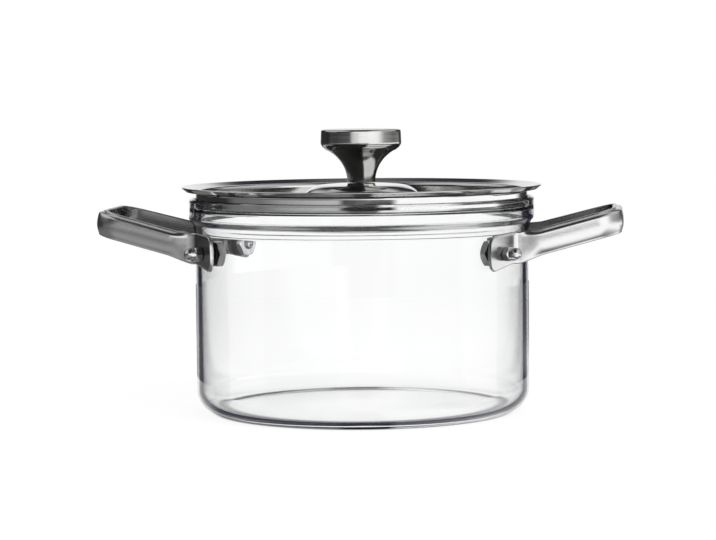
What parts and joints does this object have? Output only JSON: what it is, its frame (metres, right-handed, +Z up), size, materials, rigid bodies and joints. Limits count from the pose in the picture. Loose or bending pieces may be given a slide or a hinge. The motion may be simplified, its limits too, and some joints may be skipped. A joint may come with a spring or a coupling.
{
  "type": "glass pot",
  "caption": "Clear glass cooking pot with a stepped rim, a drop-in pressed steel lid with a turned knob, and bent steel strap handles bolted through the wall.",
  "frame": {"origin": "centre of the base's underside", "axes": "+Z up along the pot's axis, +X through the middle of the right handle, +Y to the rear"},
  "size_m": [0.313, 0.216, 0.1697],
  "materials": {
    "clear_glass": "clear, fire polished",
    "lid_steel": "pressed sheet, polished top and satin skirt",
    "knob_steel": "turned, satin",
    "handle_steel": "polished strap",
    "fastener_steel": "polished",
    "dark_silicone": "matt"
  },
  "bodies": {
    "pot": {"pot_body": "clear_glass", "handle_right": "handle_steel", "handle_left": "handle_steel", "bolt_right_rear": "fastener_steel", "bolt_right_front": "fastener_steel", "bolt_left_front": "fastener_steel", "bolt_left_rear": "fastener_steel", "cap_nut_right_rear": "fastener_steel", "cap_nut_right_front": "fastener_steel", "cap_nut_left_front": "fastener_steel", "cap_nut_left_rear": "fastener_steel", "inner_gasket_right_rear": "dark_silicone", "inner_gasket_right_front": "dark_silicone", "inner_gasket_left_front": "dark_silicone", "inner_gasket_left_rear": "dark_silicone", "outer_gasket_right_rear": "dark_silicone", "outer_gasket_right_front": "dark_silicone", "outer_gasket_left_front": "dark_silicone", "outer_gasket_left_rear": "dark_silicone"},
    "lid": {"lid_shell": "lid_steel", "lid_knob": "knob_steel", "knob_washer": "fastener_steel", "knob_screw": "fastener_steel"}
  },
  "joints": [
    {"name": "lid_lift", "type": "slide", "parent": "pot", "child": "lid", "axis": [0, 0, 1], "range_m": [0, 0.12]}
  ]
}
